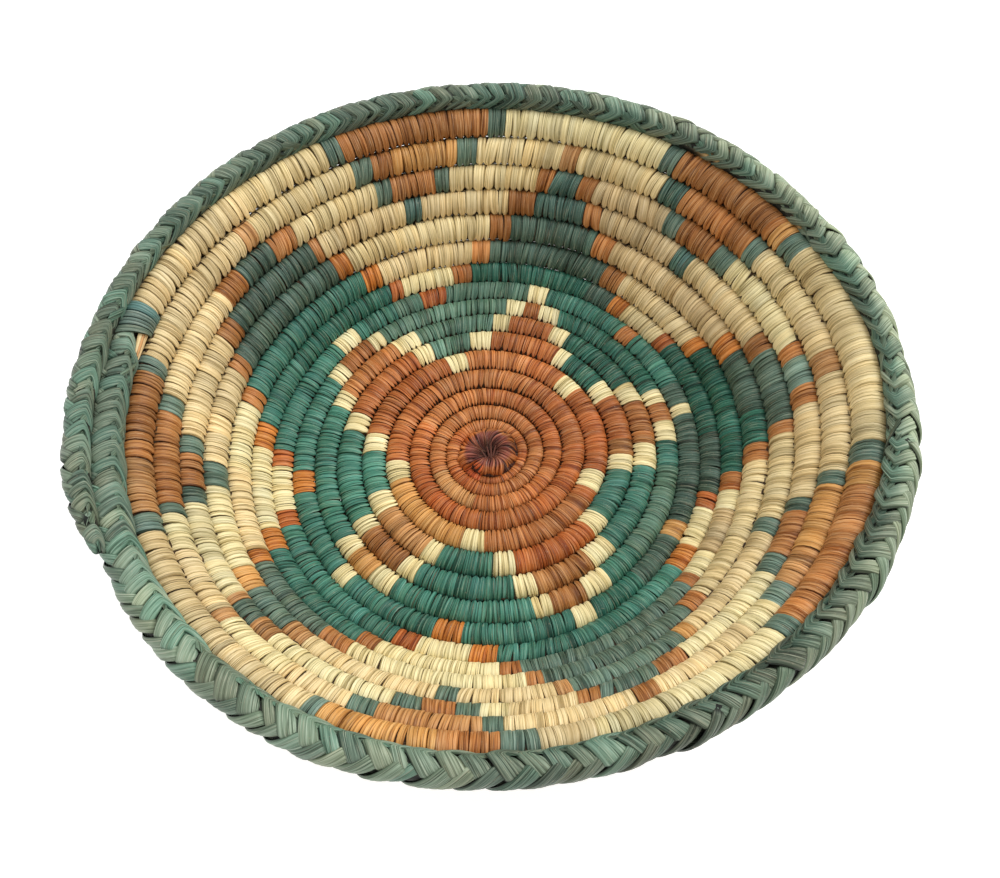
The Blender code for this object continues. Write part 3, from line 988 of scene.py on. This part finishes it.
def strand_lines(band, half, ridge, top, slant):
    """How far over the rim, and how far along it, the middle of a strand runs."""
    share = np.linspace(0, 1, STRAND_ROWS)[:, None]
    inner = (ridge - math.radians(SEAM_IN_DEG)) * half
    outer = (ridge - math.radians(SEAM_OUT_DEG)) * half
    inside = 1 / math.tan(math.radians(INSIDE_LEAN_DEG))
    outside = 1 / math.tan(math.radians(OUTSIDE_LEAN_DEG))
    under, bend = UNDER_MM / 1000, BEND_MM / 1000
    if band == "outside":
        reach = top - under + (outer - top + under) * share
        return reach, top * slant + (top - reach) * outside, -outside
    if band == "lining":
        reach = inner + (under / 2 - inner) * share
        return reach, reach * inside, inside
    reach = inner + (top + under - inner) * share
    arc = np.sqrt(reach ** 2 + bend ** 2)
    lean = np.where(reach < 0, inside, slant)
    return reach, (arc - bend) * lean, reach / arc * lean


def strand_levels(band, reach, top):
    """Share of a strand's end that is cut square, and share that goes under."""
    if band == "lining":
        return 0.0, 0.0
    if band == "outside":
        return 1 - ease((reach - top) / (0.6 * top)), ease((top - reach) * 1000 / RAMP_MM)
    return ease((reach - 0.3 * top) / (0.5 * top)), ease((reach - top) * 1000 / RAMP_MM)


# %% Shape of the strands
LEG_SHARE = 0.82
LEG_EASE = 0.0016
NOTCH_SHARE = 0.6
NOTCH_SPREAD = (0.2, 1.4)
NOTCH_BACK = 0.0003
NOTCH_WIDTHS = (0.0018, 0.0013)
EDGE_FROM_SHARE = 0.8
EDGE_OVER_SHARE = 0.15
EDGE_DROPS = (0.0006, 0.0009)
STRAND_SPREAD = 0.0003
STRAND_SINK = 0.00012
STRAND_TILT = 0.0003
STRAND_CROWN = 0.00042
INNER_SWELL = 0.0004
DIVE_MM = 0.95
LINING_MM = 0.65
RIB_MM = 0.06
RIBS = 4
STRAND_COLUMNS = np.linspace(-1, 1, 15)
STRAND_EDGE = np.clip((np.abs(STRAND_COLUMNS) - EDGE_FROM_SHARE) / EDGE_OVER_SHARE, 0, 1)


def strand_room(band, reach):
    """Narrows the strand inside the ridge, with a notch on its forward side."""
    if band != "top":
        return 1.0
    leg = 1 - (1 - LEG_SHARE) * ease(-reach / LEG_EASE)
    notch = NOTCH_SHARE * per_strip(rng.uniform(*NOTCH_SPREAD, len(STRAND_TURNS)))
    wide = np.where(reach < -NOTCH_BACK, *NOTCH_WIDTHS)
    notch = notch * np.exp(-((reach + NOTCH_BACK) / wide) ** 2)
    return leg * (1 - notch * np.clip(STRAND_COLUMNS, 0, 1) ** 2)


def strand_lift(band, sunk, passed, lean):
    """How far each point of a strand stands off the rim."""
    across = STRAND_COLUMNS
    own = rng.normal(0, STRAND_SPREAD, (2, len(STRAND_TURNS)))
    lift = per_strip(own[0]) - STRAND_SINK - DIVE_MM / 1000 * sunk + per_strip(own[1]) * across
    lift = lift - np.where(across < 0, *EDGE_DROPS) * STRAND_EDGE
    lift = lift + STRAND_CROWN * (1 - across ** 2) - STRAND_TILT * across
    lift = lift + RIB_MM / 1000 * np.cos(across * math.pi * RIBS + 2 * lean)
    return lift + INNER_SWELL * ease(-passed - 0.35) - LINING_MM / 1000 * (band == "lining")


# %% Strands of one band
STRAND_OVERLAP = 1.06
LINING_PAINTED_SHADE = 0.35
STRANDS_APART_MM = 5.3
BANDS_APART_MM = 31.7


def strand_grid(band):
    """Strands over the top, down the outside, or in the lining."""
    turn, lean = per_strip(STRAND_TURNS), per_strip(STRAND_LEANS)
    half = rim_half(turn)
    ridge = np.radians(from_shares(turn, INNER_RIDGE_DEG))
    top = (ridge - math.radians(OUTER_RIDGE_DEG)) * half
    between = (STRAND_STEPS + np.append(STRAND_STEPS[1:], STRAND_STEPS[-1])) / 2
    wide = per_strip(STRAND_STEPS if band == "top" else between)
    middle = per_strip(STRAND_STEPS / 2 if band == "top" else STRAND_STEPS)
    reach, shift, rate = strand_lines(band, half, ridge, top, 1 / np.tan(lean))
    square, sunk = strand_levels(band, reach, top)
    room = STRAND_COLUMNS * wide / 2 * STRAND_OVERLAP * strand_room(band, reach)
    passed = np.clip(reach / top, -1, 2)
    size = 1 + rate ** 2
    shift = shift + middle + room * (1 - square + square / size)
    angle = ridge - (reach - room * square * rate / size) / half
    where = turn + shift / (2 * math.pi * rim_radius(turn))
    where = np.clip(where, RIM_START_TURN - 0.004, RIM_END_TURN)
    points = rim_place(where, angle, strand_lift(band, sunk, passed, lean))
    run = leaf_run(reach * 1000 / np.sin(lean), STRAND_COLUMNS * wide * 400,
                   len(STRAND_TURNS), STRANDS_APART_MM, BANDS_APART_MM * len(band))
    # Painted shade at the strands' edges, where a strand dives under its neighbour, and over the
    # lining.
    edge = np.clip(STRAND_EDGE + sunk + LINING_PAINTED_SHADE * (band == "lining"), 0, 1)
    return points, run, braid_dyes(passed), edge


# %% Dyes of the braid, and the braid itself
BRAID_SHADES = ((116, 133, 114), (104, 136, 118), (124, 135, 113), (101, 122, 107))
BRAID_SHADE_SHARES = (0.4, 0.25, 0.2, 0.15)
# Painted light and shade round the rim: stretches of the braid made lighter or darker for how the
# light falls there.
BRAID_LIGHT_AND_SHADE_LEVELS = ((16.46, 1.0), (16.51, 0.96), (16.58, 1.14), (16.67, 1.16), (16.73, 0.98),
                (16.78, 0.76), (16.85, 0.76), (16.95, 1.05), (17.08, 1.05), (17.18, 0.86),
                (17.3, 0.88), (17.46, 1.0))
BRAID_SPREAD = 0.17
RIDGE_SHADE = (92, 122, 102)
GREEN_SHARE = 0.45
GREEN_REACH_SHARE = 0.35
# The pale outer tips are partly fading and partly painted light.
FADED_AND_LIT_SHADE = (180, 191, 154)
FADED_AND_LIT_SHARES = ((16.46, 0.0), (16.6, 0.1), (16.72, 0.06), (16.85, 0.35), (16.95, 0.45),
                (17.07, 0.5), (17.15, 0.35), (17.22, 0.04), (17.57, 0.04))


def braid_dyes(passed):
    """Dye of each strand: greener at the inner ridge, paler towards the outside from fading and
    painted light, and lighter or darker round the rim as painted light and shade.
    """
    count = len(STRAND_TURNS)
    pick = rng.choice(len(BRAID_SHADES), count, p=BRAID_SHADE_SHARES)
    base = per_strip(screen_to_light(BRAID_SHADES)[pick])
    level = from_shares(STRAND_TURNS, BRAID_LIGHT_AND_SHADE_LEVELS) ** 1.8
    level = per_strip(level * np.exp(rng.normal(0, BRAID_SPREAD, count)))[..., None]
    green = (GREEN_SHARE * np.exp(-(passed / GREEN_REACH_SHARE) ** 2))[..., None]
    paler_share = per_strip(from_shares(STRAND_TURNS, FADED_AND_LIT_SHARES)) * ease(passed / 0.9)
    paler_share = paler_share[..., None]
    dye = base * (1 - green) + screen_to_light(RIDGE_SHADE) * green
    return level * (dye * (1 - paler_share) + screen_to_light(FADED_AND_LIT_SHADE) * paler_share)


BRAID = add_strips("rim_plait", [strand_grid(band) for band in ("top", "outside", "lining")],
                   BRAID_LEAF, ["rim_braid"])
print("braid faces:", len(BRAID.data.polygons))

# %% The straw inside the rim
RIM_STRAWS = 9
RIM_STRAW_HEIGHT_SHARE = 0.82
RIM_STRAW_BACK = 0.0008
RIM_STRAW_INSET = 0.0005
# The rim straw's dark colour is painted shade; the pale peeps are its own colour.
RIM_STRAW_PAINTED_SHADE = (40, 44, 36)
PEEP_SHADE = (200, 168, 116)
PEEPS = (16.463, 16.505, 16.636, 16.645, 17.075, 17.126, 17.134, 17.453)
PEEP_WIDTH = 0.0022


def add_rim_straw():
    """Straw under the braid, coloured dark as painted shade, and its own pale colour where
    strands part.
    """
    turns = np.linspace(RIM_START_TURN - 0.002, RIM_END_TURN, 300)
    share = closed_ends(turns, 1 / (2 * math.pi * WARP_RADIUS))
    trim = np.minimum(from_shares(turns, BRAID_TRIM_MM), 0) / 1000
    half = (rim_half(turns) + ROW_GAP / 2 - RIM_STRAW_INSET + trim) * share
    height = (rim_half(turns) * RIM_STRAW_HEIGHT_SHARE * RIM_HEIGHT_SHARE + trim) * share
    points, run, edge = bundle_grid(turns, turns - 1, drawn_centre(turns) - RIM_STRAW_BACK,
                                    half, height, RIM_STRAWS)
    near = np.abs(turns[:, None] - PEEPS).min(axis=1)
    pale = ease(1.5 - near / PEEP_WIDTH)[:, None, None]
    dye = screen_to_light(RIM_STRAW_PAINTED_SHADE) * (1 - pale) + screen_to_light(PEEP_SHADE) * pale
    return add_strips("rim_straw", [(points, run, dye, edge)], STRAW, ["rim_core"])


RIM_STRAW = add_rim_straw()
print("rim straw faces:", len(RIM_STRAW.data.polygons))

# %% [markdown]
# ## The tie and the straw ends
# Where the coil stops, a few turns of teal leaf tie it down, and the ends of
# the straw bundle show beside them as flat, pointed slips. The tie could be four
# more wraps, but a real one fans out, so its bands are set apart by one list of
# places on the inner side and another at the rim.

# %% Tie
TIE_SHADES = ((92, 128, 122), (104, 124, 114), (96, 116, 106), (104, 122, 106))
TIE_INNER_MM = (0.0, 3.6, 6.0, 8.4, 10.2)
TIE_OUTER_MM = (0.0, 5.0, 8.6, 12.4, 16.6)
TIE_LIFT_MM = 0.5
TIE_RIB_MM = 0.12
TIE_DROP_MM = 0.45
TIE_TILT_MM = 0.1
TIE_OVERLAP = 1.04
TIE_SINK_SHARE = 0.22
TIE_BITE = 0.0008
TIES_APART_MM = 4.1


def add_tie():
    """Four wide wraps of leaf that fan out from the coil to the rim."""
    phi = np.radians(np.linspace(0, 360, 41)[:-1])[:, None]
    across = np.linspace(-1, 1, 13)
    side, front = np.cos(phi), np.sin(phi)
    bands = np.stack([np.interp((1 - side) / 2, (0, 1), (outer, inner))
                      for outer, inner in zip(TIE_OUTER_MM, TIE_INNER_MM)])
    low, high = bands[:-1], bands[1:]
    shift = ((low + high) / 2 + across * (high - low) / 2 * TIE_OVERLAP) / 1000
    where = tie_start() + shift / girth(COIL_END_TURN)
    past = np.clip((where - COIL_END_TURN) * girth(COIL_END_TURN), 0, 1)
    half = float(row_half(COIL_END_TURN))
    drop = np.clip(np.abs(across) - 0.85, 0, 1) / 0.15
    lift = TIE_LIFT_MM + TIE_RIB_MM * np.cos(across * math.pi * 3.5)
    lift = (lift - TIE_DROP_MM * drop + TIE_TILT_MM * across) / 1000
    through = rounded(front, ROUNDNESS) * (half * ROW_HEIGHT_SHARE + lift - past * TIE_SINK_SHARE)
    along = rounded(side, ROUNDNESS) * (half + ROW_GAP / 2 + lift)
    along = along - TIE_BITE * np.exp(-((side + 0.9) / 0.12) ** 2)
    run = leaf_run(phi * half * 1000, across * 1.8, len(TIE_SHADES), TIES_APART_MM)
    # Painted shade at the edges of each band, where the bands meet.
    edge = np.clip((np.abs(across) - 0.8) / 0.2, 0, 1)
    grid = place(where, along, through), run, per_strip(screen_to_light(TIE_SHADES)), edge
    return add_strips("end_tie", [grid], BRAID_LEAF, ["rim_tie"], closed=True)


TIE = add_tie()
print("tie faces:", len(TIE.data.polygons))

# %% Straw ends
STRAW_LENGTH = 0.014
STRAW_WIDTHS = (0.0024, 0.0022, 0.002)
STRAW_THICKNESS = 0.0009
STRAW_START_TURN = COIL_END_TURN - 0.002
STRAW_PLACE_SHARES = ((-0.76, 0.5), (-0.5, 0.6), (-0.24, 0.68))
STRAW_SHADES = ((232, 202, 150), (214, 160, 104), (238, 212, 160))
STRAW_BEND = 0.0007
STRAW_WAVE = 0.0002
STRAW_DROOP = 0.0003


def add_straw_end(number, along, through):
    """One flat slip of straw with a pointed tip."""
    share = np.linspace(0, 1, 14)[:, None]
    angle = np.linspace(0, 2 * math.pi, 17)
    half = float(row_half(COIL_END_TURN))
    wide = STRAW_WIDTHS[number - 1] / 2 * (1 - 0.85 * share ** 2.5)
    thick = STRAW_THICKNESS / 2 * (1 - 0.6 * share ** 3)
    where = STRAW_START_TURN + share * STRAW_LENGTH / girth(STRAW_START_TURN)
    bend = STRAW_WAVE * np.sin(share * 4 + number) - STRAW_BEND * number * share ** 1.5
    points = place(where, along * half + bend + wide * np.cos(angle),
                   through * half - STRAW_DROOP * share + thick * np.sin(angle))[None]
    run = share * STRAW_LENGTH * 1000, np.cos(angle) * 0.9, 11.0 * number
    # Painted shade at the thin sides of the slip.
    edge = np.abs(np.cos(angle)) ** 4
    grid = points, run, screen_to_light(STRAW_SHADES[number - 1]), edge
    return add_strips(f"straw_end_{number}", [grid], STRAW,
                      [f"coil_end_straw_{number}"])


STRAWS = [add_straw_end(i, *spot) for i, spot in enumerate(STRAW_PLACE_SHARES, 1)]
print("straw ends:", len(STRAWS))

# %% [markdown]
# ## The knot in the middle
# The coil starts from a knot: leaf folded over and over through its own middle,
# so every fold runs from the outside over the top and down into a dimple. It
# could be sculpted as one lump, but the folds are strips like all the rest, and
# bending them along half a profile keeps their fibres in the right direction.

# %% Profile of the knot
KNOT_HEIGHT = 0.0068
KNOT_PATH_SHARES = ((0.0, 0.0), (0.5, 0.0), (0.9, 0.0), (1.02, 0.25), (1.05, 0.52),
                    (1.0, 0.78), (0.86, 0.95), (0.68, 1.0), (0.5, 0.9), (0.36, 0.7),
                    (0.24, 0.5), (0.1, 0.36))
SOFTENING_SHARES = (0.25, 0.5, 0.25)
DIMPLE = (-0.0007, 0.0011)


def knot_edge(angle):
    """Radius of the inner side of the coil's first turn, at a bearing."""
    turn = COIL_START_TURN + ((angle / (2 * math.pi) - COIL_START_TURN) % 1.0)
    return radius_at(turn) - row_half(turn) - ROW_GAP / 2


def knot_path(count):
    """Radius and height shares, smoothly from the underside to the dimple."""
    path = np.array(KNOT_PATH_SHARES)
    fine = np.linspace(0, len(path) - 1, count)
    wide, high = (np.interp(fine, np.arange(len(path)), column) for column in path.T)
    for values in (wide, high):
        values[1:-1] = np.convolve(values, SOFTENING_SHARES, "same")[1:-1]
    return fine[:, None], wide[:, None], high[:, None]


def knot_points(angle, wide, high, lift):
    """Points of the knot. The dimple is off the middle."""
    radius = knot_edge(angle) * wide + lift * np.clip(wide * 1.5, 0.3, 1)
    inside = (1 - np.clip(wide, 0, 1)) * np.clip(high * 3, 0, 1)
    x = radius * np.cos(angle) + DIMPLE[0] * inside
    y = radius * np.sin(angle) + DIMPLE[1] * inside
    z = np.maximum(KNOT_HEIGHT * high + lift * np.clip(high * 1.4, 0, 1), 0.0)
    return np.stack(np.broadcast_arrays(x, y, z), axis=-1)


# %% Folds of the knot
KNOT_FOLDS = 44
KNOT_SHADES = ((158, 88, 70), (142, 76, 64), (172, 102, 74), (126, 68, 60))
FOLD_OVERLAP = 1.25
FOLD_WANDER = 0.22
FOLD_SPREAD = 0.00028
FOLD_EDGE_DROP = 0.0006
FOLD_WAVE = 0.00018
FOLD_TWISTS = (0.35, 0.07)
FOLDS_APART_MM = 7.1


def fold_dyes(middle, wide, high):
    """Dark leaf with painted shade in the dimple and underneath, which passes into the shades of
    the first turn at the outside.
    """
    base = screen_to_light(KNOT_SHADES)[rng.integers(0, len(KNOT_SHADES), KNOT_FOLDS)]
    # Painted shade: darker towards the dimple and on the underside.
    painted_shade = np.where(high > 0.3, np.clip((wide - 0.05) * 1.6, 0.3, 1.0), 0.8)[..., None]
    ring = COIL_START_TURN + (middle[:, 0, 0] / (2 * math.pi) - COIL_START_TURN) % 1.0
    ring = per_strip(wrap_dyes(ring, shade_at(ring)))
    outside = ease((wide - 0.74) / 0.14)[..., None]
    return per_strip(base) * painted_shade * (1 - outside) + ring * outside


def add_knot():
    """Folds of dark leaf that meet in a dimple."""
    fine, wide, high = knot_path(34)
    order = np.arange(KNOT_FOLDS)
    wander = rng.normal(0, FOLD_WANDER, KNOT_FOLDS)
    middle = per_strip(2 * math.pi * (order + wander) / KNOT_FOLDS)
    across = np.linspace(-1, 1, 7)
    lift = per_strip(rng.normal(0, FOLD_SPREAD, KNOT_FOLDS))
    lift = lift - FOLD_EDGE_DROP * np.abs(across) ** 3
    lift = lift + FOLD_WAVE * np.sin(0.9 * fine + 7 * middle)
    twist = FOLD_TWISTS[0] * (1 - wide) + FOLD_TWISTS[1] * np.sin(5 * middle + fine)
    angle = middle + twist + across * math.pi / KNOT_FOLDS * FOLD_OVERLAP
    points = knot_points(angle, wide, high, lift)
    under = 0.0001 + 0.0004 * across ** 2 + 0.00012 * per_strip(order % 3)
    points[..., 2] += ease(1 - high / 0.25) * under
    run = leaf_run(fine * 1.6, across * 0.9, KNOT_FOLDS, FOLDS_APART_MM)
    # Painted shade at the sides of each fold, where it tucks under the next.
    grid = points, run, fold_dyes(middle, wide, high), np.abs(across) ** 3
    return add_strips("middle_knot", [grid], STITCH_LEAF, ["start_knot"])


KNOT = add_knot()
print("knot faces:", len(KNOT.data.polygons))

# %% Heart of the knot, dark as painted shadow, and its pale fibres
HEART_PAINTED_SHADOW = (68, 34, 28)
HEART_INSET = 0.0005
HEART_ABOVE_FLOOR = 0.0009
FIBRE_SHADE = (178, 126, 110)
FIBRE_THICKNESS = 0.0012
FIBRE_FOOT_HEIGHT = 0.0028
HEART_FIBRES = ((0.0004, -0.0016, 14, 0.0052), (0.001, -0.0022, -2, 0.0074),
                (0.0016, -0.0018, -20, 0.006), (0.0022, -0.002, -38, 0.0042),
                (-0.0012, -0.0016, 34, 0.0044))


def knot_heart():
    """Leaf under the folds, so that nothing shows through, coloured dark as painted shadow."""
    fine, wide, high = knot_path(24)
    angle = np.linspace(0, 2 * math.pi, 49)
    skirt = wide + 0.08 * (high < 0.6) * (wide > 0.5)
    points = knot_points(angle, skirt, high, -HEART_INSET)[None]
    points[..., 2] = np.maximum(points[..., 2], HEART_ABOVE_FLOOR)
    return points, (fine, angle * 8, 0.0), screen_to_light(HEART_PAINTED_SHADOW), 0.0


def heart_fibre(x, y, turn, length):
    """One pale end of leaf that rises from a foot in the dimple."""
    share = np.linspace(0, 1, 8)[:, None]
    angle = np.linspace(0, 2 * math.pi, 9)
    thick = FIBRE_THICKNESS / 2 * (1 - 0.6 * share)
    lean, out = math.radians(turn), share * length
    px = x - math.sin(lean) * out * 0.8 + thick * np.cos(angle) + DIMPLE[0]
    py = y + math.cos(lean) * out * 0.8 + DIMPLE[1] - 0.001
    pz = FIBRE_FOOT_HEIGHT + 0.45 * out + thick * np.sin(angle)
    points = np.stack(np.broadcast_arrays(px, py, pz), axis=-1)[None]
    return points, (share * 4, 0.0, 0.0), screen_to_light(FIBRE_SHADE), 0.0


HEART = [add_strips(name, grids, STITCH_LEAF, None)
         for name, grids in (("knot_heart", [knot_heart()]),
                             ("heart_fibres", [heart_fibre(*row) for row in HEART_FIBRES]))]
print("faces in the heart:", sum(len(p.data.polygons) for p in HEART))

# %% [markdown]
# ## Floor and light
# The bowl stands on a plain white floor. More lamps would make the floor white,
# but they would bleach the bowl too. So the floor glows only where the camera
# looks at it, and it still takes the bowl's shadow. Soft light comes from all
# round, and a large lamp high up behind the bowl on the right gives the rows
# their shape.

# %% Floor
FLOOR_SIZE = 6.0
FLOOR_BELOW = 0.0002
FLOOR_COLOUR = (0.8, 0.8, 0.8, 1.0)
FLOOR_ROUGHNESS = 0.9
FLOOR_GLOW = 0.62
WHITE = (1.0, 1.0, 1.0, 1.0)


def looked_at(tree):
    """1 where the camera looks, also by way of gloss or glass, and 0 elsewhere."""
    rays = add_node(tree, "ShaderNodeLightPath").outputs
    seen = calculate(tree, rays["Is Camera Ray"], "+", rays["Is Glossy Ray"])
    return calculate(tree, seen, "+", rays["Is Transmission Ray"], True)


def add_floor():
    """A white floor that shows as white and still takes the bowl's shadow."""
    mesh = bpy.data.meshes.new("floor")
    mesh.from_pydata([(x * FLOOR_SIZE, y * FLOOR_SIZE, -FLOOR_BELOW)
                      for x, y in ((-1, -1), (1, -1), (1, 1), (-1, 1))], [], [(0, 1, 2, 3)])
    floor = add_object("floor", mesh)
    material, tree, shader = new_material("floor_white")
    shader.inputs["Base Color"].default_value = FLOOR_COLOUR
    shader.inputs["Roughness"].default_value = FLOOR_ROUGHNESS
    shader.inputs["Emission Color"].default_value = WHITE
    glow = calculate(tree, looked_at(tree), "*", FLOOR_GLOW)
    tree.links.new(glow, shader.inputs["Emission Strength"])
    mesh.materials.append(material)
    return floor


FLOOR = add_floor()
print("floor is", FLOOR.dimensions.x, "m wide")

# %% Light
WORLD_STRENGTH = 0.805
LAMP_WATTS = 13.6
LAMP_SIZE = 0.9
LAMP_PLACE = (0.82, 0.64, 1.02)


def add_world():
    """Even light from all round, white where the camera sees it."""
    world = bpy.data.worlds.new("soft_room")
    bpy.context.scene.world = world
    world.use_nodes = True
    tree = world.node_tree
    back = tree.nodes["Background"]
    back.inputs["Color"].default_value = WHITE
    strength = spread(tree, looked_at(tree), 0.0, 1.0, WORLD_STRENGTH, 1.0)
    tree.links.new(strength, back.inputs["Strength"])


def add_lamp():
    """A large square lamp that looks at the middle of the bowl."""
    data = bpy.data.lights.new("soft_lamp", "AREA")
    data.energy = LAMP_WATTS
    data.size = LAMP_SIZE
    lamp = add_object("soft_lamp", data)
    back = np.array(LAMP_PLACE) / np.linalg.norm(LAMP_PLACE)
    right = np.cross((0.0, 0.0, 1.0), back)
    right /= np.linalg.norm(right)
    stand(lamp, right, np.cross(back, right), back, LAMP_PLACE)
    lamp.visible_camera = False
    return lamp


add_world()
LAMP = add_lamp()
bpy.context.scene.view_settings.view_transform = "Standard"
print("lamp stands at", [round(x, 2) for x in LAMP.matrix_world.translation])
